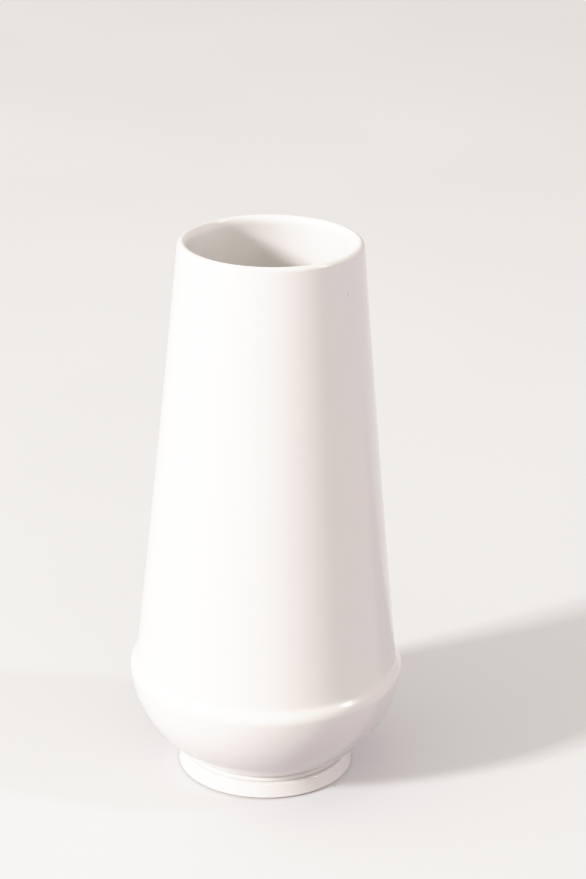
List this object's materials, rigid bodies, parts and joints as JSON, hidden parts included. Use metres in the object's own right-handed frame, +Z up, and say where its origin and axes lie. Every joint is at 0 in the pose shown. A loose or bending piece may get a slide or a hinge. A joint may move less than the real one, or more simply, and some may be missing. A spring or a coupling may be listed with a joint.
{
  "type": "flower vase",
  "caption": "Tall glazed ceramic flower vase: a tapering tubular body with an open mouth, a rounded shoulder, a bowl-shaped base and a low foot ring.",
  "frame": {"origin": "centre of the standing ring under the foot, on the surface the vase rests on", "axes": "+Z up along the axis of revolution, from the foot to the mouth; +X and +Y are any two square directions, because the vase is round"},
  "size_m": [0.119, 0.119, 0.24],
  "materials": {
    "fired_clay": "matte",
    "glaze": "gloss"
  },
  "bodies": {
    "root": {"tapered_body": "fired_clay", "bowl_base": "fired_clay", "foot_ring": "fired_clay", "outer_glaze": "glaze", "inner_glaze": "glaze", "base_glaze": "glaze"}
  },
  "joints": []
}
